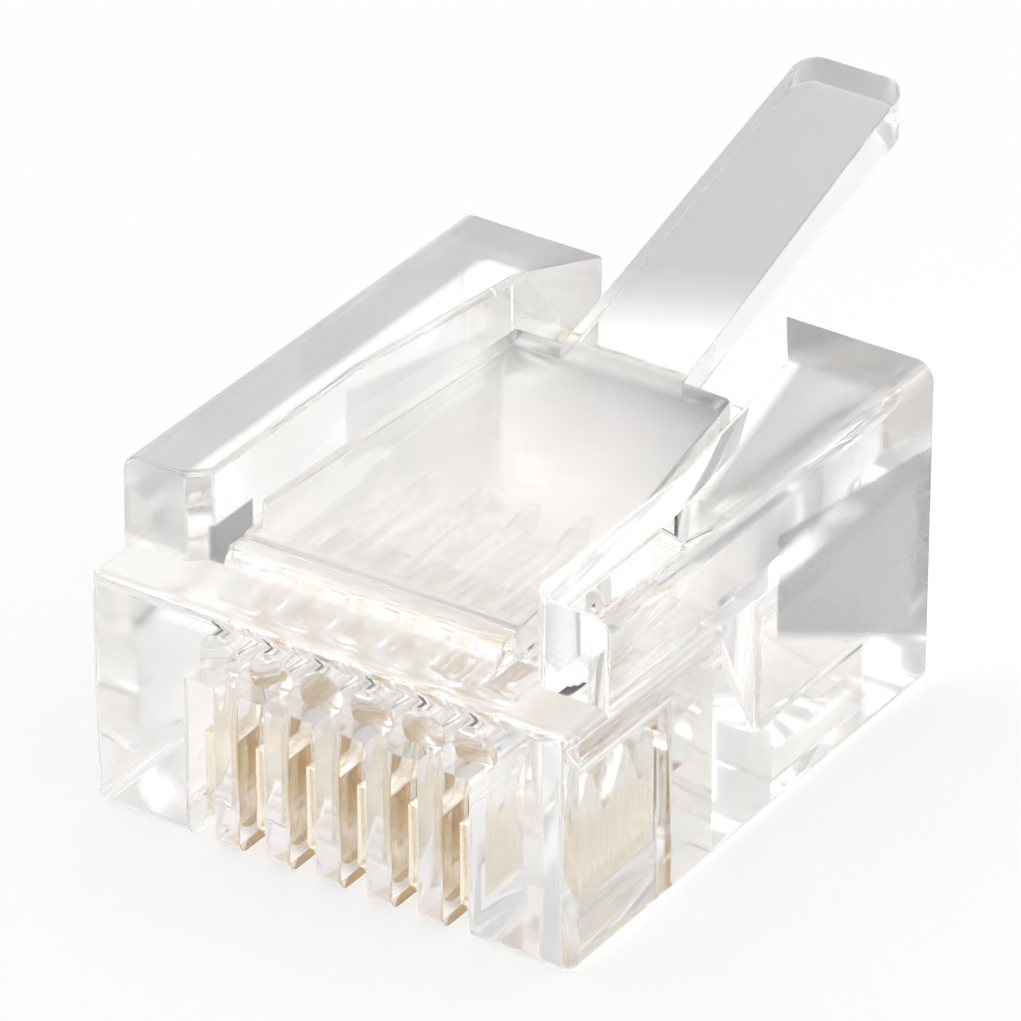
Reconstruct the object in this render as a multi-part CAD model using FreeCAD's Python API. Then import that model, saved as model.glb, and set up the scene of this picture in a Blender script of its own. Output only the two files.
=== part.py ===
import FreeCAD, Part
import math
import os

# Six-contact modular plug for flat cord: one clear moulded housing, a latch that flexes at its
# root and six plated contact blades pressed into slots.
# X runs across the plug, +Y from the nose to the cable end, +Z from the contact side to the
# latch side. The origin is the middle of the contact side, which the plug rests on.

# ---- Driving dimensions, in millimetres and degrees ---------------------------------------

# Flat cord and its cavity
cord_width = 6.7
cord_thickness = 2.43
cord_clearance = 0.1         # round the cord
side_wall = 1.375            # cavity to the outside of the body
base_wall = 1.1              # under the cavity, on the contact side
roof_wall = 0.5              # between the cavity and the latch channel
cavity_corner_radius = 0.45
mouth_flare = 0.3            # widening at the cable end, each side
mouth_length = 0.9

# Nose and rails
nose_length = 1.1            # nose face to the front of the rails
rail_rise = 1.7              # step from the nose up to the top of the rails
rail_edge_radius = 0.35      # long outer edge of each rail
rail_lip_radius = 0.12       # long inner edge of each rail
rail_lead_in = 0.35          # bevel at the front of the channel's walls
nose_edge_radius = 0.25      # every outer edge of the nose, and of the contact side

# Latch
arm_width = 6.12             # at its widest, just behind the root
arm_gap = 0.14               # arm to the channel's wall, each side
arm_rise = 0.65              # top of the root up to the top of the shoulders
root_relief = 0.45           # pocket beside the neck, each side
neck_length = 0.4            # hinge axis to where the neck starts to widen
neck_flare = 0.5
shoulder_distance = 8.85     # nose face to the locking shoulders
shoulder_width = 4.4
shoulder_gap = 0.45          # shoulders to the channel's walls, each side
tail_width = 2.45            # at the shoulders
tail_gap = 0.63              # tail to the lugs at the cable end, each side
tail_taper = 0.15            # narrowing towards the end of the tail, each side
tail_angle = 17.8            # rise of the tail above the contact side
tail_length = 7.45           # shoulders to the end of the tail, measured along Y
tail_corner_radius = 0.45
root_thickness = 0.55
shoulder_thickness = 0.75
tail_thickness = 0.9
arm_edge_radius = 0.1        # long upper edges of the arm

# Hinge at the latch's root, and the channel that the latch is pressed into
hinge_setback = 1.75         # nose face to the hinge axis
hinge_clearance = 0.05       # running gap round the root
press_angle = 6.5            # travel of the latch when it is squeezed
press_clearance = 0.05       # left under the arm at the end of its travel
taper_start = 5.6            # nose face to where the channel's walls close in
shoulder_bay = 1.05          # locking shoulders to the lugs
lug_length = 1.2             # lugs that narrow the channel at the cable end

# Contacts
contact_count = 6
contact_pitch = 1.02
blade_thickness = 0.35
blade_length = 3.1
blade_recess = 0.4           # nose face to the blade's front edge
blade_lift = 0.1             # contact side to the blade's lower edge
blade_front_radius = 0.4
blade_rear_radius = 0.2
tine_count = 2
tine_base = 0.85
tine_tip = 0.12
tine_setback = 0.05          # tips below the wire channel, before the crimp
tine_margin = 0.35           # rear tine to the blade's rear edge
blade_clearance = 0.01       # blade to slot wall, each side

# Contact slots
slot_width = 0.52            # where the jack's wires enter
slot_front_depth = 1.05      # nose face to the end of the wide part
slot_head = 0.45             # open height above the narrow part, in the nose face
slot_base_height = 0.5       # wide part along the contact side
slot_end_clearance = 0.08    # behind the blade

# Wire channels above the blades, and what the crimp needs
wire_channel_diameter = 0.86
wire_end_wall = 0.2          # wide part of the slots to the channels' blind ends
slot_ledge = 0.22            # wall between a channel and the narrow part of the slots
crimp_travel = 0.7           # blade up to the end of its slot
guide_rib_length = 0.9
funnel_length = 1.0          # ramp from the cavity up to the wire channels

# Strain reliefs on the contact side
relief_gap = 0.3             # cut round each bar
web_thickness = 0.3          # thin webs that the bars bend on
cord_pocket_lead = 0.4       # front of the cavity to the pocket of the cord bar
cord_pocket_setback = 1.3    # cable end to the same pocket
cord_bar_depth = 0.85
cord_bar_recess = 0.2        # below the contact side's face
wire_pocket_lead = 0.42      # slots to the pocket of the conductor bar
wire_pocket_length = 1.25
wire_pocket_wall = 0.25      # the same pocket to the end of the channels
wire_bar_drop = 0.52         # bar below the channels' underside
wire_bar_depth = 1.0

# ---- Sizes that follow ---------------------------------------------------------------------

# Across
cavity_width = cord_width + 2 * cord_clearance
body_width = cavity_width + 2 * side_wall
side = body_width / 2
channel_width = arm_width + 2 * arm_gap
channel_shoulder_width = shoulder_width + 2 * shoulder_gap
channel_rear_width = tail_width + 2 * tail_gap
neck_width = channel_width - 2 * root_relief
tail_end_width = tail_width - 2 * tail_taper
row_width = (contact_count - 1) * contact_pitch
funnel_width = row_width + wire_channel_diameter
guide_rib_thickness = contact_pitch - wire_channel_diameter

# Along
body_length = shoulder_distance + shoulder_bay + lug_length
nose = -body_length / 2
rear = body_length / 2
hinge_y = nose + hinge_setback
shoulder_y = nose + shoulder_distance
tail_end_y = shoulder_y + tail_length
blade_front = nose + blade_recess
blade_rear = blade_front + blade_length
slot_rear = blade_rear + slot_end_clearance
wire_pocket_front = slot_rear + wire_pocket_lead
wire_pocket_rear = wire_pocket_front + wire_pocket_length
wire_channel_front = nose + slot_front_depth + wire_end_wall
wire_channel_rear = wire_pocket_rear + wire_pocket_wall
cavity_front = wire_channel_rear + funnel_length
cord_pocket_front = cavity_front + cord_pocket_lead
cord_pocket_rear = rear - cord_pocket_setback
reach = body_length + tail_length       # longer than any cut has to be

# Upwards
knuckle_radius = root_thickness / 2
cavity_top = base_wall + cord_thickness + 2 * cord_clearance
channel_floor = cavity_top + roof_wall
press = math.radians(press_angle)
underside_run = shoulder_distance - hinge_setback
underside_rise = knuckle_radius + arm_rise - shoulder_thickness
press_drop = underside_run * math.sin(press) - underside_rise * math.cos(press)
hinge_z = channel_floor + press_clearance + press_drop
nose_height = hinge_z - knuckle_radius - hinge_clearance
body_height = nose_height + rail_rise
shoulder_height = hinge_z + knuckle_radius + arm_rise
wire_channel_radius = wire_channel_diameter / 2
wire_axis_z = cavity_top - wire_channel_radius
wire_channel_floor = wire_axis_z - wire_channel_radius
slot_top = wire_channel_floor - slot_ledge
blade_top = slot_top - crimp_travel
tine_top = wire_channel_floor - tine_setback


# ---- Helpers -------------------------------------------------------------------------------

def point(y, z):
    """A point of a side outline."""
    return FreeCAD.Vector(0, y, z)


def block(width, y_from, y_to, z_from, z_to):
    """A box centred across the plug."""
    corner = FreeCAD.Vector(-width / 2, y_from, z_from)
    return Part.makeBox(width, y_to - y_from, z_to - z_from, corner)


def across(outline, width, middle=0.0):
    """A side outline, given as points in Y and Z, made solid across the plug."""
    face = Part.Face(Part.makePolygon(outline + [outline[0]]))
    face.translate(FreeCAD.Vector(middle - width / 2, 0, 0))
    return face.extrude(FreeCAD.Vector(width, 0, 0))


def plan(half_outline, z_from, z_to):
    """A plan outline, given as (half width, y) down one side, mirrored and made solid upwards."""
    right = [FreeCAD.Vector(x, y, z_from) for x, y in half_outline]
    left = [FreeCAD.Vector(-x, y, z_from) for x, y in reversed(half_outline)]
    outline = right + left
    face = Part.Face(Part.makePolygon(outline + [outline[0]]))
    return face.extrude(FreeCAD.Vector(0, 0, z_to - z_from))


def bar_across(radius, length, y, z):
    """A round bar lying across the plug, centred."""
    start = FreeCAD.Vector(-length / 2, y, z)
    return Part.makeCylinder(radius, length, start, FreeCAD.Vector(1, 0, 0))


def close(a, b):
    return abs(a - b) < 1e-4


def edges_where(shape, test):
    """The straight edges of a shape whose middle and direction pass a test."""
    chosen = []
    for edge in shape.Edges:
        if len(edge.Vertexes) != 2:
            continue
        start, end = (vertex.Point for vertex in edge.Vertexes)
        if not close(edge.Length, start.distanceToPoint(end)):
            continue
        if test((start + end) / 2, (end - start).normalize()):
            chosen.append(edge)
    return chosen


def contact_places():
    """Where each contact stands across the plug."""
    return [i * contact_pitch - row_width / 2 for i in range(contact_count)]


# ---- Housing -------------------------------------------------------------------------------

def body_blank():
    """The outside of the moulding: a low nose, a step and the full height behind it."""
    outline = [
        point(nose, 0),
        point(rear, 0),
        point(rear, body_height),
        point(nose + nose_length, body_height),
        point(nose + nose_length, nose_height),
        point(nose, nose_height),
    ]
    blank = across(outline, body_width)
    blank = blank.makeFillet(rail_edge_radius, edges_where(
        blank, lambda c, d: close(abs(c.x), side) and close(c.z, body_height) and abs(d.y) > 0.9))
    return blank.makeFillet(nose_edge_radius, edges_where(
        blank, lambda c, d: close(c.y, nose) or (close(abs(c.x), side) and abs(d.y) > 0.9
                                                 and c.z < nose_height + rail_edge_radius)))


def latch_channel():
    """The space between the rails, open at the top, the front and the cable end."""
    front = nose + nose_length
    walls = [
        (channel_width / 2 + rail_lead_in, nose - reach),
        (channel_width / 2 + rail_lead_in, front),
        (channel_width / 2, front + rail_lead_in),
        (channel_width / 2, nose + taper_start),
        (channel_shoulder_width / 2, rear - lug_length),
        (channel_rear_width / 2, rear),
        (channel_rear_width / 2, rear + reach),
    ]
    top = body_height + reach
    before_hinge = block(body_width, nose - reach, hinge_y, nose_height, top)
    behind_hinge = block(body_width, hinge_y, rear + reach, channel_floor, top)
    return plan(walls, 0, top).common(before_hinge.fuse(behind_hinge))


def hinge_stub():
    """The fixed foot in front of the latch: a ramp that rises from the nose to the root."""
    ramp_start = nose + nose_length - knuckle_radius
    lip = hinge_z + 0.85 * knuckle_radius
    outline = [
        point(ramp_start, nose_height - knuckle_radius),
        point(ramp_start, nose_height),
        point(hinge_y - 2 * knuckle_radius, lip),
        point(hinge_y, lip),
        point(hinge_y, nose_height - knuckle_radius),
    ]
    return across(outline, neck_width)


def contact_slot(x):
    """One slot: wide where the jack's wires run, narrow where the blade is held and driven."""
    wide_end = nose + slot_front_depth
    below = -base_wall
    wide = [
        point(nose - base_wall, below),
        point(slot_rear, below),
        point(slot_rear, slot_base_height),
        point(wide_end, slot_base_height),
        point(wide_end, slot_top + slot_head),
        point(nose - base_wall, slot_top + slot_head),
    ]
    held = [
        point(blade_front, 0),
        point(slot_rear, 0),
        point(slot_rear, slot_top),
        point(blade_rear - tine_margin, slot_top),
        point(blade_rear - tine_margin, wire_axis_z),
        point(wire_channel_front, wire_axis_z),
        point(wire_channel_front, slot_top),
        point(blade_front, slot_top),
    ]
    held_width = blade_thickness + 2 * blade_clearance
    return across(wide, slot_width, x).fuse(across(held, held_width, x))


def wire_channel(x):
    """A blind round channel for one conductor, above its blade."""
    start = FreeCAD.Vector(x, wire_channel_front, wire_axis_z)
    length = wire_channel_rear - wire_channel_front + funnel_length / 2
    return Part.makeCylinder(wire_channel_radius, length, start, FreeCAD.Vector(0, 1, 0))


def wire_funnel():
    """The ramp that leads the conductors from the cable cavity up to their channels."""
    outline = [
        point(wire_channel_rear, wire_channel_floor),
        point(cavity_front, base_wall),
        point(cavity_front, cavity_top),
        point(wire_channel_rear, cavity_top),
    ]
    return across(outline, funnel_width)


def guide_rib(x):
    """A thin rib between two channels that runs back into the funnel and tapers out."""
    rib_front = wire_channel_rear - guide_rib_thickness
    rib_rear = wire_channel_rear + guide_rib_length
    outline = [
        point(rib_front, wire_axis_z - wire_channel_diameter),
        point(rib_rear, cavity_top - guide_rib_thickness),
        point(rib_rear, cavity_top + guide_rib_thickness),
        point(rib_front, cavity_top + guide_rib_thickness),
    ]
    return across(outline, guide_rib_thickness, x)


def guide_ribs():
    """One rib for each gap between neighbouring channels."""
    places = contact_places()
    return [guide_rib((left + right) / 2) for left, right in zip(places, places[1:])]


def cavity_outline(widening, y):
    """The cavity's rounded outline at y, widened by the same amount at the sides and below."""
    sheet = block(cavity_width + 2 * widening, y, y + mouth_length,
                  base_wall - widening, cavity_top + widening / 2)
    sheet = sheet.makeFillet(cavity_corner_radius, edges_where(sheet, lambda c, d: abs(d.y) > 0.9))
    return min(sheet.Faces, key=lambda face: face.CenterOfMass.y).OuterWire


def cable_cavity():
    """The flat cord's cavity, straight inside and flared at the cable end."""
    flare_start = rear - mouth_length
    inner = Part.Face(cavity_outline(0, cavity_front))
    straight = inner.extrude(FreeCAD.Vector(0, flare_start - cavity_front, 0))
    outlines = [cavity_outline(0, flare_start), cavity_outline(mouth_flare, rear)]
    return straight.fuse(Part.makeLoft(outlines, True, True))


def cord_pocket():
    """The window in the contact side that the cord's clamping bar sits in."""
    return block(cord_width, cord_pocket_front, cord_pocket_rear, -base_wall,
                 base_wall + cord_clearance)


def cord_bar():
    """The bar that is driven in to clamp the cord: a wedge on a thin web at the cable end."""
    low = cord_bar_recess
    web_top = low + web_thickness
    top = low + cord_bar_depth
    front = cord_pocket_front + relief_gap
    length = cord_pocket_rear - front
    outline = [
        point(front, web_top),
        point(front + web_thickness, low),
        point(cord_pocket_rear, low),
        point(cord_pocket_rear, web_top),
        point(cord_pocket_rear - length / 3, web_top),
        point(front + length / 3, top),
        point(front, top),
    ]
    return across(outline, cord_width - 2 * relief_gap)


def wire_pocket():
    """The window that reaches up to the conductors behind the blades."""
    return block(funnel_width, wire_pocket_front, wire_pocket_rear, -base_wall, wire_axis_z)


def wire_bar():
    """The bar that clamps the conductors, on thin webs at its front and back."""
    top = wire_channel_floor - wire_bar_drop
    outline = [
        point(wire_pocket_front + relief_gap, top - wire_bar_depth),
        point(wire_pocket_rear - relief_gap, top - wire_bar_depth),
        point(wire_pocket_rear - relief_gap, top - web_thickness),
        point(wire_pocket_rear, top - web_thickness),
        point(wire_pocket_rear, top),
        point(wire_pocket_front, top),
        point(wire_pocket_front, top - web_thickness),
        point(wire_pocket_front + relief_gap, top - web_thickness),
    ]
    return across(outline, funnel_width - 2 * relief_gap)


def make_housing():
    """The whole moulding, with its slots, channels, cavity and strain reliefs."""
    housing = body_blank().cut(latch_channel())
    housing = housing.makeFillet(rail_lip_radius, edges_where(
        housing, lambda c, d: close(c.z, body_height) and abs(c.x) < side - rail_edge_radius
        and abs(d.y) > 0.5 and c.y < rear - lug_length))
    seat = bar_across(knuckle_radius + hinge_clearance, channel_width, hinge_y, hinge_z)
    housing = housing.fuse(hinge_stub()).cut(seat)
    spaces = [cable_cavity(), wire_funnel(), cord_pocket(), wire_pocket()]
    spaces += [contact_slot(x) for x in contact_places()]
    spaces += [wire_channel(x) for x in contact_places()]
    housing = housing.cut(spaces)
    return housing.fuse(guide_ribs() + [cord_bar(), wire_bar()]).removeSplitter()


# ---- Latch ---------------------------------------------------------------------------------

def latch_side():
    """The latch from the side: a thin root, a slow rise to the shoulders, a steeper tail."""
    tail_top = shoulder_height + tail_length * math.tan(math.radians(tail_angle))
    outline = [
        point(hinge_y, hinge_z - knuckle_radius),
        point(shoulder_y, shoulder_height - shoulder_thickness),
        point(tail_end_y, tail_top - tail_thickness),
        point(tail_end_y, tail_top),
        point(shoulder_y, shoulder_height),
        point(hinge_y, hinge_z + knuckle_radius),
    ]
    return across(outline, body_width)


def latch_plan():
    """The latch from above: neck, flare, tapering arm, locking shoulders and tail."""
    flare_start = hinge_y + neck_length
    return plan([
        (neck_width / 2, hinge_y - knuckle_radius),
        (neck_width / 2, flare_start),
        (arm_width / 2, flare_start + neck_flare),
        (shoulder_width / 2, shoulder_y),
        (tail_width / 2, shoulder_y),
        (tail_end_width / 2, tail_end_y),
    ], 0, body_height + reach)


def arm_edges(latch):
    """The long upper edges of the arm, between the neck and the shoulders."""
    edges = []
    for face in latch.Faces:
        if face.normalAt(0, 0).z > 0.8:
            edges += edges_where(face, lambda c, d: abs(d.y) > 0.8 and c.y < shoulder_y
                                 and c.y > hinge_y + neck_length + neck_flare)
    return edges


def make_latch():
    """The sprung latch, from the rounded root to the end of the tail."""
    latch = latch_side().common(latch_plan())
    latch = latch.makeFillet(tail_corner_radius, edges_where(
        latch, lambda c, d: close(c.y, tail_end_y) and abs(d.z) > 0.9))
    latch = latch.makeFillet(arm_edge_radius, arm_edges(latch))
    root = bar_across(knuckle_radius, neck_width, hinge_y, hinge_z)
    return latch.fuse(root).removeSplitter()


# ---- Contacts ------------------------------------------------------------------------------

def make_contact(x):
    """One blade: rounded where it meets the jack's wire, piercing tines on the other edge."""
    rearmost_foot = blade_rear - tine_margin - tine_base
    step = (rearmost_foot - wire_channel_front) / max(tine_count - 1, 1)
    outline = [
        point(blade_front, blade_lift),
        point(blade_rear, blade_lift),
        point(blade_rear, blade_top),
    ]
    for i in reversed(range(tine_count)):
        foot = wire_channel_front + i * step
        middle = foot + tine_base / 2
        outline += [
            point(foot + tine_base, blade_top),
            point(middle + tine_tip / 2, tine_top),
            point(middle - tine_tip / 2, tine_top),
            point(foot, blade_top),
        ]
    outline.append(point(blade_front, blade_top))
    blade = across(outline, blade_thickness, x)
    blade = blade.makeFillet(blade_front_radius, edges_where(
        blade, lambda c, d: close(c.y, blade_front) and close(c.z, blade_lift)))
    return blade.makeFillet(blade_rear_radius, edges_where(
        blade, lambda c, d: close(c.y, blade_rear) and close(c.z, blade_lift)))


# ---- Parts ---------------------------------------------------------------------------------

def main():
    os.makedirs("parts", exist_ok=True)
    parts = {"housing": make_housing(), "latch": make_latch()}
    for number, x in enumerate(contact_places(), start=1):
        parts["contact_%d" % number] = make_contact(x)
    for name, shape in parts.items():
        shape.exportStep("parts/%s.step" % name)
        print("%s: %d solid, %.3f mm3" % (name, len(shape.Solids), shape.Volume))
    print("body %.2f x %.2f x %.2f mm, nose %.2f, channel floor %.2f, hinge at Y %.3f Z %.3f"
          % (body_width, body_length, body_height, nose_height, channel_floor, hinge_y, hinge_z))


main()
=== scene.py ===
import math
import bmesh
import bpy
from bpy.props import FloatProperty, FloatVectorProperty, IntProperty, PointerProperty
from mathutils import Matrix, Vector


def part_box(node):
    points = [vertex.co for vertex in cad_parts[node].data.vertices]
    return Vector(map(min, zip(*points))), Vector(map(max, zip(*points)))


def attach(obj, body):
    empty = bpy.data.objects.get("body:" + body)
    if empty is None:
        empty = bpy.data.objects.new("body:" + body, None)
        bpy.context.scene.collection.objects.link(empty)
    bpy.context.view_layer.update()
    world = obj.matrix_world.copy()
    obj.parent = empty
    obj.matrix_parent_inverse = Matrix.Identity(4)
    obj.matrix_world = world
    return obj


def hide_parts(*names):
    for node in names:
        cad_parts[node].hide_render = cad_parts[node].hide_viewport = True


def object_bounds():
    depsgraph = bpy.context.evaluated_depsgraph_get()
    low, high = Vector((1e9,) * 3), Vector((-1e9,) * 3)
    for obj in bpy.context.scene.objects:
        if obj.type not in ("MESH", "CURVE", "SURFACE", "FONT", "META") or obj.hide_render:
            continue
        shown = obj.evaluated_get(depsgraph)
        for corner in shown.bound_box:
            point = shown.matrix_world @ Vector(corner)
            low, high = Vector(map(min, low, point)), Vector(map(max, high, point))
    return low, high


bl_info = {
    "name": "Clear modular plug",
    "version": (1, 0, 0),
    "blender": (4, 5, 0),
    "location": "View3D > Sidebar > Plug",
    "description": "Dresses a six-contact modular plug in clear plastic and gold, on a pale floor",
    "category": "Object",
}

MM = 0.001
THIN = 0.05 * MM            # how fast a rough field ends, where nothing else is said
SOFT = 0.2 * MM             # how fast the softer ones end
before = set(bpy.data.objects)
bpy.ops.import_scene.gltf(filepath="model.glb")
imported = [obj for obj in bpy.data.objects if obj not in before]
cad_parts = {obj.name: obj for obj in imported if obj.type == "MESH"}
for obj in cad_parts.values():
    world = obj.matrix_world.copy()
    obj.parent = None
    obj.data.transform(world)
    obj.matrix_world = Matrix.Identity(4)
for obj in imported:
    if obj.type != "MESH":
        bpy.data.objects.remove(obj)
WHOLE_LOW = Vector(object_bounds()[0])
HOUSING_LOW, HOUSING_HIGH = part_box("housing")
CONTACTS = sorted(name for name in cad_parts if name.startswith("contact_"))


# ---- Shader expressions --------------------------------------------------------------------

class Signal:
    """A shader socket that takes part in Python arithmetic: each operator adds one Math node."""

    def __init__(self, finish, socket):
        self.finish = finish
        self.socket = socket

    def combined(self, operation, first, second=0.0):
        """The signal that a Math node makes of one or two others."""
        return self.finish.node("ShaderNodeMath", {"operation": operation}, {0: first, 1: second})

    def __add__(self, other):
        return self.combined("ADD", self, other)

    def __radd__(self, other):
        return self.combined("ADD", other, self)

    def __sub__(self, other):
        return self.combined("SUBTRACT", self, other)

    def __rsub__(self, other):
        return self.combined("SUBTRACT", other, self)

    def __mul__(self, other):
        return self.combined("MULTIPLY", self, other)

    def __rmul__(self, other):
        return self.combined("MULTIPLY", other, self)

    def __abs__(self):
        return self.combined("ABSOLUTE", self)


class Finish:
    """The nodes of a material or of the sky, and the one method that adds them."""

    def __init__(self, owner):
        self.owner = owner
        self.owner.use_nodes = True
        self.tree = self.owner.node_tree
        self.tree.nodes.clear()
        kind = "World" if isinstance(owner, bpy.types.World) else "Material"
        self.output = self.tree.nodes.new("ShaderNodeOutput" + kind)

    def node(self, kind, settings=None, sockets=None, output=0):
        """Adds a node, sets it up, then fills its sockets with values or signals."""
        made = self.tree.nodes.new(kind)
        for name, value in (settings or {}).items():
            setattr(made, name, value)
        for name, value in (sockets or {}).items():
            if isinstance(value, Signal):
                self.tree.links.new(value.socket, made.inputs[name])
            else:
                made.inputs[name].default_value = value
        return Signal(self, made.outputs[output])

    def place(self):
        """The point on the object, in metres, in its own frame."""
        return self.node("ShaderNodeTexCoord", output="Object")

    def facing(self):
        """The way the surface faces, in the object's own frame."""
        return self.node("ShaderNodeTexCoord", output="Normal")

    def parts(self, vector):
        """The X, Y and Z of a vector."""
        first = self.node("ShaderNodeSeparateXYZ", None, {0: vector})
        return [Signal(self, socket) for socket in first.socket.node.outputs]

    def stretched(self, place, scale):
        """A point with its X, Y and Z scaled, so that noise there is drawn out along one of them."""
        return self.node("ShaderNodeVectorMath", {"operation": "MULTIPLY"}, {0: place, 1: scale})

    def noise(self, place, size, detail=3.0, roughness=0.55):
        """Soft noise, about 0 to 1, with features of the given size in metres."""
        return self.node("ShaderNodeTexNoise", None, {
            "Vector": place, "Scale": 1.0 / size, "Detail": detail, "Roughness": roughness})

    def blended(self, factor, first, second):
        """A colour between two colours."""
        return self.node("ShaderNodeMix", {"data_type": "RGBA"}, {0: factor, 6: first, 7: second},
                         output=2)

    def limited(self, value, low, high, to_low=0.0, to_high=1.0):
        """A value between low and high, carried over to the span from to_low to to_high."""
        return self.node("ShaderNodeMapRange", {"clamp": True}, {
            "Value": value, "From Min": low, "From Max": high, "To Min": to_low, "To Max": to_high})

    def above(self, value, level, blur=THIN):
        """One where a value is more than a level, fading in over a short way beyond it."""
        return self.limited(value, level, level + blur)

    def below(self, value, level, blur=THIN):
        """One where a value is less than a level, fading out over a short way before it."""
        return self.limited(value, level - blur, level, 1.0, 0.0)

    def bumped(self, height, distance):
        """A normal that leans as a height of up to the given distance would make it lean."""
        return self.node("ShaderNodeBump", None, {"Height": height, "Distance": distance})

    def seen(self):
        """One as the camera or a glossy face sees the surface, two through plastic, and else zero."""
        path = self.node("ShaderNodeLightPath").socket.node.outputs
        camera, glossy, through = (
            Signal(self, path[ray]) for ray in ("Is Camera Ray", "Is Glossy Ray", "Is Transmission Ray"))
        return camera + glossy + through

    def surface(self, shader):
        """Gives the owner its shader, and returns the owner."""
        self.tree.links.new(shader.socket, self.output.inputs["Surface"])
        return self.owner


def new_finish(name):
    return Finish(bpy.data.materials.new(name))


def rgba(colour):
    return (*colour, 1.0)


WHITE = rgba((1.0, 1.0, 1.0))


# ---- Finishes ------------------------------------------------------------------------------

# Where the mould is rough, so that the plastic comes out milky, and where grey shade is painted into it.
SIDE_X, NOSE_Y, TOP_Z = HOUSING_HIGH[0], HOUSING_LOW[1], HOUSING_HIGH[2]
SKIN = 0.1 * MM             # how deep a point on an outer face may lie, at a rounded edge
ROOF_Z = 4.1 * MM           # just under the floor of the latch's channel
ARM_Z = 6.0 * MM            # between the latch's arm and the tops of the rails
RAIL_HEIGHT = 1.6 * MM      # of the rails over the nose
RAIL_FOOT_Z = 4.6 * MM      # the top of the nose
ROOT_Y = -3.8 * MM          # the latch's root
SHOULDER_Y = 3.3 * MM       # the latch's locking shoulders
LUG_Y = 4.2 * MM            # front of the lugs at the rear of the rails
SIDE_FIELD_Y = 0.6 * MM     # front of the rough field on each side
POCKET_X = (2.75 * MM, 3.3 * MM)        # the two small pockets beside the latch's root
POCKET_Y = (-4.15 * MM, -3.05 * MM)
POCKET_Z = (4.15 * MM, 5.2 * MM)
FULL_SPAN = (0.0, 1.0)
ACROSS = (-1.0 * MM, 1.0 * MM)          # from the far half of the plug to the near one
UPWARD, UPWARD_BLUR = 0.6, 0.2          # rise of a face that counts as a top


def within(finish, value, limits):
    """One between two limits."""
    return finish.above(value, limits[0] - THIN) * finish.below(value, limits[1] + THIN)


def top_haze(finish):
    """Milky haze on the top of the nose and of the latch's arm, which clears towards the rear."""
    arm_share = 0.45
    clear_y, clearing_way = 3.0 * MM, 2.5 * MM
    x, y, z = finish.parts(finish.place())
    upward = finish.above(finish.parts(finish.facing())[2], UPWARD, UPWARD_BLUR)
    thinner_on_arm = finish.limited(y, ROOT_Y - SOFT, ROOT_Y + SOFT, 1.0, arm_share)
    clearing = finish.below(y, clear_y, clearing_way)
    return upward * within(finish, z, (ROOF_Z, ARM_Z)) * thinner_on_arm * clearing


def on_sides(finish):
    """One on the two flat sides."""
    return finish.above(abs(finish.parts(finish.place())[0]), SIDE_X - SKIN)


def on_nose(finish):
    """One on the front face."""
    return finish.below(finish.parts(finish.place())[1], NOSE_Y + SKIN)


def rail_frost_and_shade(finish):
    """Spark-eroded tops and fronts of the rails, greyed with painted shade, which is left off along
    their inner lips and at one front end so that these stay bright.
    """
    strength = 0.85
    front_share, outward_rise, outward_blur = 0.8, 0.6, 0.3
    side_turn, side_blur = 0.8, 0.2
    near_lip_x, near_lip_slant, far_lip_x = 3.8 * MM, 0.23, 3.4 * MM
    highlight_end_slant, highlight_end_span = 1.2, (-7.5 * MM, -5.0 * MM)
    x, y, z = finish.parts(finish.place())
    facing_x, facing_y, facing_z = finish.parts(finish.facing())
    rail = finish.above(z, TOP_Z - RAIL_HEIGHT, SKIN)
    top_or_front = finish.above(facing_z - front_share * facing_y, outward_rise, outward_blur)
    outward = top_or_front * finish.below(abs(facing_x), side_turn, side_blur)
    # The painted shade is left off the rails' inner lips, which stay as bright lines.
    inside_lips = (finish.above(x + near_lip_slant * y, near_lip_x, SOFT)
                   + finish.above(0.0 - x, far_lip_x, SOFT) + finish.above(y, LUG_Y, SOFT))
    # The painted shade is left off the near rail's front end, which stays bright as a highlight.
    shade_kept = finish.limited(y - highlight_end_slant * x, *highlight_end_span)
    return strength * rail * outward * finish.limited(inside_lips, *FULL_SPAN) * shade_kept


def side_frost_and_shade(finish):
    """A spark-eroded field on each side, beside the cord's cavity, greyed with painted shade, which is
    fainter on the far side.
    """
    # The far side keeps only this share of the painted shade.
    far_shade_share = 0.3
    top_z, top_slant, top_blur = 5.5 * MM, 0.14, 0.15 * MM
    low_z, low_slant, low_blur = 3.6 * MM, 0.5, 0.3 * MM
    x, y, z = finish.parts(finish.place())
    field = (finish.above(y, SIDE_FIELD_Y, SKIN)
             * finish.below(z + top_slant * y, top_z, top_blur)
             * finish.above(z + low_slant * y, low_z, low_blur))
    return on_sides(finish) * field * finish.limited(x, *ACROSS, far_shade_share, 1.0)


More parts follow.
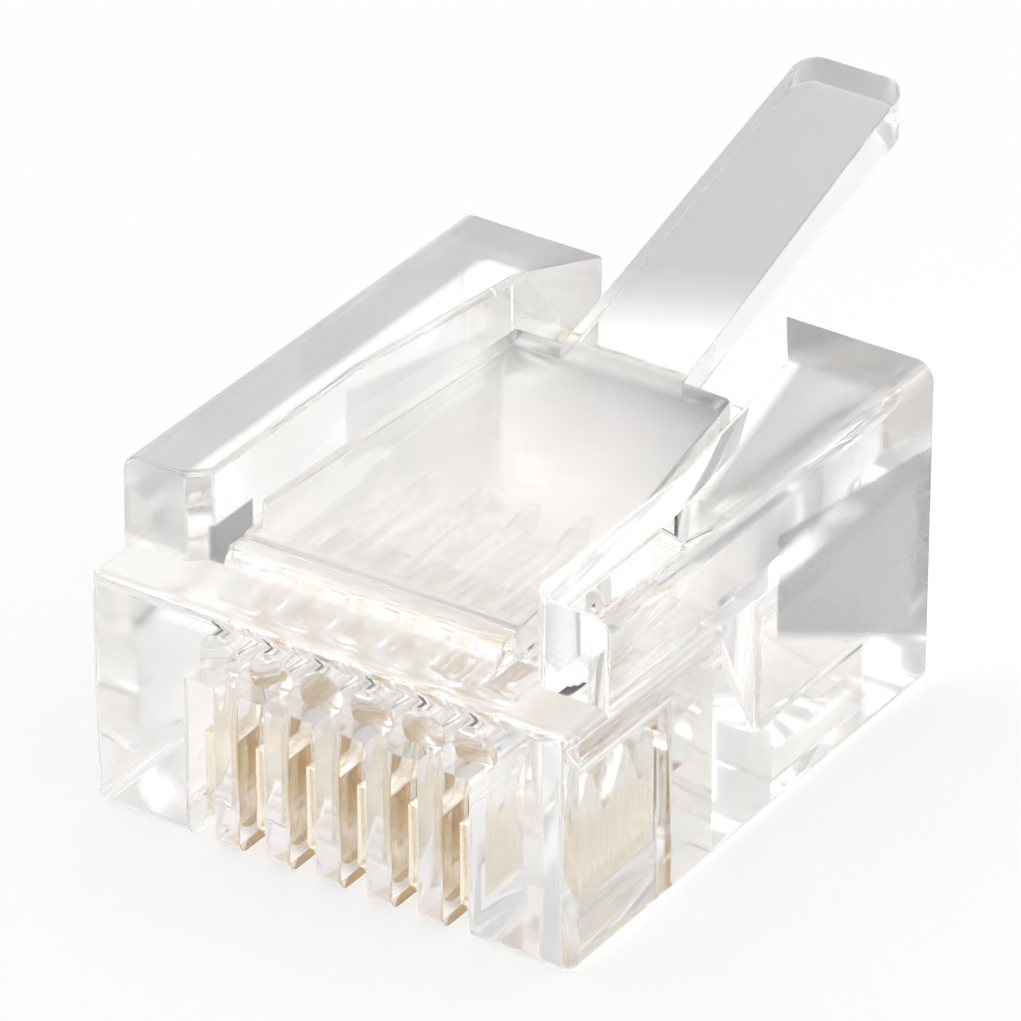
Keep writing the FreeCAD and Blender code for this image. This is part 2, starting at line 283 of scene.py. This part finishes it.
def wall_haze_and_shade(finish):
    """A thin haze in patches on the sides and the nose, greyed with painted shade that deepens towards
    the rear of the near side, but not on the rails' ends, which stay bright.
    """
    patch_size, patch_span, patch_depth = 2.5 * MM, (0.3, 0.7), (0.12, 0.32)
    rear_shade_span, rear_shade_depth = (1.5 * MM, 4.0 * MM), (0.0, 0.3)
    end_y, end_blur = -2.0 * MM, 1.0 * MM
    flat_turn, flat_blur = 0.7, 0.2
    x, y, z = finish.parts(finish.place())
    facing_x, facing_y, facing_z = finish.parts(finish.facing())
    noise = finish.noise(finish.place(), patch_size, detail=0.0)
    haze_and_shade_patches = finish.limited(noise, *patch_span, *patch_depth)
    # Painted shade, deeper towards the rear of the near side.
    haze_and_shade_patches = haze_and_shade_patches + finish.limited(y, *rear_shade_span, *rear_shade_depth) * finish.above(x, 0.0)
    # Left off the rails' front ends, so that their highlight stays bright.
    rail_end = finish.above(z, RAIL_FOOT_Z, SOFT) * finish.below(y, end_y, end_blur)
    outward = on_sides(finish) * abs(facing_x) - on_nose(finish) * facing_y
    return haze_and_shade_patches * finish.above(outward, flat_turn, flat_blur) * (1.0 - rail_end)


def pocket_frost_and_shadow(finish):
    """Rough walls of the two small pockets beside the latch's root, darkened with a painted shadow,
    which is nearly left off the near one.
    """
    near_shadow_share = 0.15
    x, y, z = finish.parts(finish.place())
    # The painted shadow is kept in full on the far pocket only.
    shade_kept = finish.limited(x, *ACROSS, 1.0, near_shadow_share)
    return (within(finish, abs(x), POCKET_X) * within(finish, y, POCKET_Y)
            * within(finish, z, POCKET_Z) * shade_kept)


def housing_frost_and_shade(finish):
    """All the rough fields of the housing, with their painted grey shade."""
    frosted = rail_frost_and_shade(finish) + side_frost_and_shade(finish) + wall_haze_and_shade(finish) + pocket_frost_and_shadow(finish)
    return finish.limited(frosted, *FULL_SPAN)


def latch_frost_and_shade(finish):
    """Spark-eroded top of the latch's tail, and a fainter field towards its shoulders, both greyed with
    painted shade.
    """
    top_rise = 0.4
    arm_slant, arm_span, arm_shade_depth = 0.5, (0.5 * MM, 3.6 * MM), (0.0, 0.55)
    shoulder_way, shoulder_blur = 0.8 * MM, 0.7 * MM
    shoulder_span, shoulder_shade_depth = (0.8 * MM, 2.0 * MM), (0.15, 0.5)
    tail_slant, tail_span, tail_shade_depth = 0.3, (4.2 * MM, 5.6 * MM), (0.0, 0.6)
    x, y, z = finish.parts(finish.place())
    upward = finish.above(finish.parts(finish.facing())[2], top_rise, UPWARD_BLUR)
    arm = finish.limited(y + arm_slant * x, *arm_span, *arm_shade_depth)
    shoulders = (finish.above(y, SHOULDER_Y - shoulder_way, shoulder_blur)
                 * finish.limited(abs(x), *shoulder_span, *shoulder_shade_depth))
    tail = finish.limited(y - tail_slant * x, *tail_span, *tail_shade_depth)
    before_tail = finish.below(y, SHOULDER_Y + SOFT, SOFT)
    return upward * finish.limited((arm + shoulders) * before_tail + tail, *FULL_SPAN)


def outer_side(finish):
    """One on the housing's outer faces and on the latch, zero on the faces of cavities and slots."""
    top = finish.above(finish.parts(finish.place())[2], ROOF_Z)
    return finish.limited(top + on_sides(finish) + on_nose(finish), *FULL_SPAN)


def clear_plastic(name, look, frost):
    """Clear polycarbonate, which lets lamps through, with faint flow marks and with frosted faces that
    are greyed with painted shade.
    """
    along_flow = (1.0, 0.35, 1.0)
    flow_span, polish = (0.3, 0.8), (0.01, 0.05)
    cloud_span, cloud_scale = (0.35, 0.65), 2
    grain_span, grain_depth = (0.2, 0.8), (0.9, 1.0)
    thin_haze, haze_swing = 0.8, 0.4
    finish = new_finish(name)
    place = finish.place()
    flow = finish.noise(finish.stretched(place, along_flow), look.flow_size, detail=1.0)
    cloud = finish.limited(
        finish.noise(place, look.flow_size * cloud_scale, detail=0.0), *cloud_span)
    grain = finish.noise(place, look.frost_grain, detail=0.0)
    clear = finish.blended(cloud, rgba(look.plastic_colour), rgba(look.plastic_shade))
    # The frost mask sets the rough fields and also where grey shade is painted.
    frosted = frost(finish)
    haze = top_haze(finish) * (thin_haze + haze_swing * cloud)
    # Painted grey shade on the frosted fields, broken up by a fine grain.
    mottled_shade = frosted * finish.limited(grain, *grain_span, *grain_depth)
    inner = finish.node("ShaderNodeBsdfPrincipled", None, {
        "Base Color": rgba(look.plastic_colour), "Roughness": 0.0, "IOR": look.plastic_ior,
        "Transmission Weight": 1.0})
    outer = finish.node("ShaderNodeBsdfPrincipled", None, {
        "Base Color": finish.blended(mottled_shade, clear, rgba(look.frost_shade_colour)),
        "Roughness": (finish.limited(flow, *flow_span, *polish) + haze * look.haze_roughness
                      + frosted * look.frost_roughness),
        "IOR": look.plastic_ior, "Transmission Weight": 1.0,
        "Normal": finish.bumped(flow, look.flow_depth)})
    # The light that the frosted fields scatter is grey too: painted shade.
    milk = finish.node("ShaderNodeBsdfDiffuse", None, {
        "Color": finish.blended(frosted, rgba(look.haze_colour), rgba(look.frost_milk_shade))})
    scattered = haze * look.haze_cover + frosted * look.frost_cover
    hazed = finish.node("ShaderNodeMixShader", None, {0: scattered, 1: outer, 2: milk})
    plastic = finish.node("ShaderNodeMixShader", None, {0: outer_side(finish), 1: inner, 2: hazed})
    lamp_ray = finish.node("ShaderNodeLightPath", output="Is Shadow Ray")
    open_way = finish.node("ShaderNodeBsdfTransparent", None, {"Color": rgba(look.shadow_tint)})
    shader = finish.node("ShaderNodeMixShader", None, {0: lamp_ray, 1: plastic, 2: open_way})
    return finish.surface(shader)


def plated_gold(look):
    """Satin bronze blades, with gold plating along the edge that the jack's wires meet; the darker gold
    there is also painted shade towards the contact side.
    """
    along_blade, line_size, line_span, line_depth = (1.0, 1.0, 0.12), 0.06 * MM, (0.3, 0.7), 0.004 * MM
    blotch_size, blotch_span, ragged = 0.5 * MM, (0.35, 0.7), 0.25 * MM
    satin = (0.08, 0.24)
    finish = new_finish("plated_gold")
    place = finish.place()
    lines = finish.noise(finish.stretched(place, along_blade), line_size, detail=4.0)
    blotch = finish.limited(finish.noise(place, blotch_size), *blotch_span)
    level = finish.parts(place)[2] + ragged * (blotch - 0.5)
    # Plating and painted shade together: the blades come out darker towards the contact side.
    plated = finish.below(level, look.plating_and_shade_height + SOFT, 2 * SOFT)
    bronze = finish.blended(blotch, rgba(look.bronze_colour), rgba(look.bronze_rub))
    metal = finish.node("ShaderNodeBsdfPrincipled", None, {
        "Base Color": finish.blended(plated, bronze, rgba(look.gold_and_shade_colour)),
        "Metallic": 1.0,
        "Roughness": finish.limited(lines, *line_span, *satin),
        "Normal": finish.bumped(lines, line_depth),
    })
    return finish.surface(metal)


def pale_floor(look):
    """A matt white floor that is seen at full white where no shadow falls."""
    finish = new_finish("pale_floor")
    matt = finish.node("ShaderNodeBsdfDiffuse", None, {"Color": rgba(look.floor_colour)})
    lift = finish.node("ShaderNodeEmission", None, {
        "Color": WHITE, "Strength": finish.seen() * look.floor_lift})
    return finish.surface(finish.node("ShaderNodeAddShader", None, {0: matt, 1: lift}))


def studio_sky(look):
    """Even light from all round, which is seen as pale grey, and through the plastic as white."""
    sky = Finish(bpy.data.worlds.new("studio_sky"))
    level = sky.seen() * (look.sky_seen - look.sky_level) + look.sky_level
    return sky.surface(sky.node("ShaderNodeBackground", None, {
        "Color": WHITE, "Strength": level}))


# ---- Mesh ----------------------------------------------------------------------------------

WELD = 1e-7                             # points nearer than this are one
FLAT = math.radians(0.6)                # faces that meet at less than this are one face
SHARP = math.radians(35)                # edges that are sharper than this are rounded
CREASE = math.radians(40)               # edges that are sharper than this stay sharp in shading


def whole_faces(node):
    """A working mesh of a CAD node, with the triangles of each flat face joined up again."""
    work = bmesh.new()
    work.from_mesh(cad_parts[node].data)
    bmesh.ops.remove_doubles(work, verts=work.verts, dist=WELD)
    bmesh.ops.dissolve_limit(work, angle_limit=FLAT, verts=work.verts,
                             edges=work.edges, delimit=set())
    return work


def round_edges(work, radius, test, segments=3):
    """Rounds the sharp outer edges whose middle passes a test."""
    sharp = [edge for edge in work.edges
             if edge.is_convex and edge.calc_face_angle(0.0) > SHARP
             and test((edge.verts[0].co + edge.verts[1].co) / 2)]
    bmesh.ops.bevel(work, geom=sharp, offset=radius, offset_type="OFFSET", segments=segments,
                    profile=0.5, affect="EDGES", clamp_overlap=False)


def finished_piece(work, name):
    """Makes an object of a working mesh. Large faces keep their own normals, so they look flat."""
    mesh = bpy.data.meshes.new(name)
    work.to_mesh(mesh)
    work.free()
    mesh.shade_smooth()
    mesh.set_sharp_from_angle(angle=CREASE)
    piece = bpy.data.objects.new(name, mesh)
    bpy.context.scene.collection.objects.link(piece)
    weighting = piece.modifiers.new("flat_faces", "WEIGHTED_NORMAL")
    weighting.keep_sharp = True
    weighting.weight = 100
    graph = bpy.context.evaluated_depsgraph_get()
    piece.data = bpy.data.meshes.new_from_object(piece.evaluated_get(graph))
    piece.modifiers.clear()
    piece.data.name = name
    return piece


def dress(piece, material, body, slot, *nodes):
    """Gives a piece its finish, lets it ride on its body and puts it in place of CAD nodes."""
    piece.data.materials.append(material)
    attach(piece, body)
    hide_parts(*nodes)
    return piece


# ---- Sizes and colours ---------------------------------------------------------------------

class PlugLook(bpy.types.PropertyGroup):
    edge_radius: FloatProperty(
        name="Edge radius", description="Rounding of the moulding's sharp edges",
        default=0.05 * MM, unit="LENGTH")
    blade_edge_radius: FloatProperty(
        name="Blade edge radius", description="Rounding of the blades' stamped edges",
        default=0.03 * MM, unit="LENGTH")
    blade_bite: FloatProperty(
        name="Blade bite", description="How far each side of a blade is pressed into its slot",
        default=0.015 * MM, unit="LENGTH")
    flow_size: FloatProperty(
        name="Flow mark size", description="Size of the moulding's faint flow marks",
        default=1.5 * MM, unit="LENGTH")
    flow_depth: FloatProperty(
        name="Flow mark depth", description="Depth of the moulding's faint flow marks",
        default=0.003 * MM, unit="LENGTH")
    plastic_ior: FloatProperty(
        name="Plastic index", description="Refractive index of the plastic", default=1.585)
    plastic_colour: FloatVectorProperty(
        name="Plastic", description="Clear plastic where it is brightest",
        default=(0.955, 0.935, 0.93), subtype="COLOR")
    plastic_shade: FloatVectorProperty(
        name="Plastic shade", description="Clear plastic where it is a little clouded",
        default=(0.925, 0.925, 0.9), subtype="COLOR")
    # Painted grey shade: the frosted faces' colour and the light they scatter are greyed to stand in for
    # shade in the clear plastic.
    frost_shade_colour: FloatVectorProperty(
        name="Frost", description="Grey of the frosted faces, seen through twice",
        default=(0.24, 0.24, 0.24), subtype="COLOR")
    frost_milk_shade: FloatVectorProperty(
        name="Frost milk", description="Colour of the light that the frosted faces scatter",
        default=(0.5, 0.5, 0.5), subtype="COLOR")
    frost_cover: FloatProperty(
        name="Frost cover", description="Share of a frosted face that scatters light", default=0.23)
    frost_grain: FloatProperty(
        name="Frost grain", description="Size of the frosted faces' grain",
        default=0.04 * MM, unit="LENGTH")
    frost_roughness: FloatProperty(
        name="Frost roughness", description="Roughness of the frosted faces", default=0.25)
    haze_roughness: FloatProperty(
        name="Haze roughness", description="Roughness of the faintly hazed upper faces", default=0.13)
    haze_cover: FloatProperty(
        name="Haze cover", description="Share of the hazed upper faces that scatters light",
        default=0.4)
    haze_colour: FloatVectorProperty(
        name="Haze", description="Colour of the light that the haze scatters",
        default=(0.95, 0.92, 0.91), subtype="COLOR")
    shadow_tint: FloatVectorProperty(
        name="Shadow tint", description="How much of a lamp's light passes each wall",
        default=(0.92, 0.926, 0.915), subtype="COLOR")
    # Darker than the bronze above it: real plating, and painted shade towards the contact side.
    gold_and_shade_colour: FloatVectorProperty(
        name="Gold", description="Plating along the lower edge of the blades",
        default=(0.95, 0.88, 0.75), subtype="COLOR")
    plating_and_shade_height: FloatProperty(
        name="Plating height", description="Contact side to the upper limit of the plating",
        default=2.0 * MM, unit="LENGTH")
    bronze_colour: FloatVectorProperty(
        name="Bronze", description="The blades above the plating",
        default=(0.985, 0.955, 0.885), subtype="COLOR")
    bronze_rub: FloatVectorProperty(
        name="Bronze rub", description="Paler bronze where the blades are rubbed",
        default=(0.985, 0.97, 0.93), subtype="COLOR")
    floor_colour: FloatVectorProperty(
        name="Floor", description="Colour of the floor", default=(0.85, 0.85, 0.85), subtype="COLOR")
    floor_lift: FloatProperty(
        name="Floor lift", description="Brightness added to the floor where it is seen",
        default=0.2)
    sky_level: FloatProperty(
        name="Sky level", description="Strength of the even light from all round", default=0.6)
    sky_seen: FloatProperty(
        name="Sky seen", description="Strength of the sky as the camera and the gold see it",
        default=0.82)
    sun_level: FloatProperty(
        name="Softbox level", description="Strength of the soft key light", default=1.4)
    sun_spread: FloatProperty(
        name="Softbox spread", description="How wide the soft key light is, seen from the plug",
        default=math.radians(40), subtype="ANGLE")
    sun_turn: FloatVectorProperty(
        name="Softbox turn", description="Turn of the soft key light from straight above",
        default=(math.radians(35), math.radians(-25), 0.0), subtype="EULER")
    wall_crossings: IntProperty(
        name="Wall crossings", description="Clear walls that a ray may cross", default=28)
    view_aim: FloatVectorProperty(
        name="View aim", description="Point that the camera looks at",
        default=(-1.49 * MM, 2.13 * MM, 3.0 * MM), subtype="XYZ_LENGTH", unit="LENGTH")
    view_side: FloatProperty(
        name="View side", description="Turn of the camera round the plug, from the nose",
        default=math.radians(33.79), subtype="ANGLE")
    view_rise: FloatProperty(
        name="View rise", description="Height of the camera above the floor, as an angle",
        default=math.radians(30.77), subtype="ANGLE")
    view_distance: FloatProperty(
        name="View distance", description="Camera to the point that it looks at",
        default=150 * MM, unit="LENGTH")
    view_width: FloatProperty(
        name="View width", description="Width of what the camera sees",
        default=17.447 * MM, unit="LENGTH")


# ---- Pieces --------------------------------------------------------------------------------

class PLUG_OT_housing(bpy.types.Operator):
    """Dress the clear moulded housing"""
    bl_idname = "plug.housing"
    bl_label = "Housing"

    def execute(self, context):
        look = context.scene.plug_look
        work = whole_faces("housing")
        round_edges(work, look.edge_radius, lambda middle: not self.is_fine(middle))
        piece = finished_piece(work, "clear_housing")
        plastic = clear_plastic("clear_housing_plastic", look, housing_frost_and_shade)
        dress(piece, plastic, "root", "clear_plastic", "housing")
        return {"FINISHED"}

    def is_fine(self, middle):
        """True in the block of slots and wire channels, whose edges stay as sharp as the mould's."""
        block_x, block_y, block_z = 3.2 * MM, 0.6 * MM, 4.0 * MM
        return (abs(middle.x) < block_x and middle.z < block_z
                and WHOLE_LOW.y + SKIN < middle.y < block_y)


class PLUG_OT_latch(bpy.types.Operator):
    """Dress the sprung latch"""
    bl_idname = "plug.latch"
    bl_label = "Latch"

    def execute(self, context):
        look = context.scene.plug_look
        work = whole_faces("latch")
        round_edges(work, look.edge_radius, lambda middle: True)
        piece = finished_piece(work, "clear_latch")
        plastic = clear_plastic("clear_latch_plastic", look, latch_frost_and_shade)
        dress(piece, plastic, "latch", "latch_plastic", "latch")
        return {"FINISHED"}


class PLUG_OT_contacts(bpy.types.Operator):
    """Dress the gold-plated contact blades"""
    bl_idname = "plug.contacts"
    bl_label = "Contacts"

    def execute(self, context):
        look = context.scene.plug_look
        gold = plated_gold(look)
        for node in CONTACTS:
            work = whole_faces(node)
            middle_x = sum(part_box(node)[end][0] for end in (0, 1)) / 2
            for vertex in work.verts:
                vertex.co.x += math.copysign(look.blade_bite, vertex.co.x - middle_x)
            round_edges(work, look.blade_edge_radius, lambda middle: True, segments=2)
            piece = finished_piece(work, "gold_" + node)
            dress(piece, gold, "root", "contact_gold", node)
        return {"FINISHED"}


class PLUG_OT_stage(bpy.types.Operator):
    """Add the floor, the light and the camera"""
    bl_idname = "plug.stage"
    bl_label = "Stage"

    def execute(self, context):
        look = context.scene.plug_look
        self.add_floor(look)
        self.add_light(context.scene, look)
        self.add_camera(context.scene, look)
        self.let_light_through(context.scene.cycles, look)
        context.scene.view_settings.view_transform = "Standard"
        return {"FINISHED"}

    def let_light_through(self, cycles, look):
        """Allows the many crossings of clear walls that a ray makes on its way out."""
        cycles.max_bounces = look.wall_crossings
        cycles.transmission_bounces = look.wall_crossings
        cycles.glossy_bounces = look.wall_crossings
        cycles.transparent_max_bounces = look.wall_crossings

    def add_floor(self, look):
        half, gap = 0.5, 0.01 * MM
        mesh = bpy.data.meshes.new("floor")
        corners = [(-half, -half, 0), (half, -half, 0), (half, half, 0), (-half, half, 0)]
        mesh.from_pydata(corners, [], [(0, 1, 2, 3)])
        floor = bpy.data.objects.new("floor", mesh)
        floor.location.z = WHOLE_LOW.z - gap
        floor.data.materials.append(pale_floor(look))
        bpy.context.scene.collection.objects.link(floor)

    def add_light(self, scene, look):
        scene.world = studio_sky(look)
        data = bpy.data.lights.new("softbox", "SUN")
        data.energy = look.sun_level
        data.angle = look.sun_spread
        lamp = bpy.data.objects.new("softbox", data)
        lamp.rotation_euler = look.sun_turn
        scene.collection.objects.link(lamp)

    def add_camera(self, scene, look):
        sensor_width, clear_way = 36.0, 1 * MM
        data = bpy.data.cameras.new("view")
        data.sensor_width = sensor_width
        data.lens = data.sensor_width * look.view_distance / look.view_width
        data.clip_start = clear_way
        camera = bpy.data.objects.new("view", data)
        back = Vector((math.sin(look.view_side) * math.cos(look.view_rise),
                       -math.cos(look.view_side) * math.cos(look.view_rise),
                       math.sin(look.view_rise)))
        camera.location = Vector(look.view_aim) + look.view_distance * back
        camera.rotation_euler = back.to_track_quat("Z", "Y").to_euler()
        scene.collection.objects.link(camera)
        scene.camera = camera


class PLUG_PT_pieces(bpy.types.Panel):
    """The plug's pieces, sizes and colours"""
    bl_idname = "PLUG_PT_pieces"
    bl_label = "Modular plug"
    bl_space_type = "VIEW_3D"
    bl_region_type = "UI"
    bl_category = "Plug"

    def draw(self, context):
        for step in STEPS:
            self.layout.operator(step.bl_idname)
        for name in PlugLook.__annotations__:
            self.layout.prop(context.scene.plug_look, name)


STEPS = (PLUG_OT_housing, PLUG_OT_latch, PLUG_OT_contacts, PLUG_OT_stage)
CLASSES = (PlugLook, *STEPS, PLUG_PT_pieces)


def register():
    for each in CLASSES:
        bpy.utils.register_class(each)
    bpy.types.Scene.plug_look = PointerProperty(type=PlugLook)


def unregister():
    del bpy.types.Scene.plug_look
    for each in reversed(CLASSES):
        bpy.utils.unregister_class(each)


def main():
    register()
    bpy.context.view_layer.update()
    for step in STEPS:
        group, operation = step.bl_idname.split(".")
        getattr(getattr(bpy.ops, group), operation)()


if __name__ == "__main__":
    main()
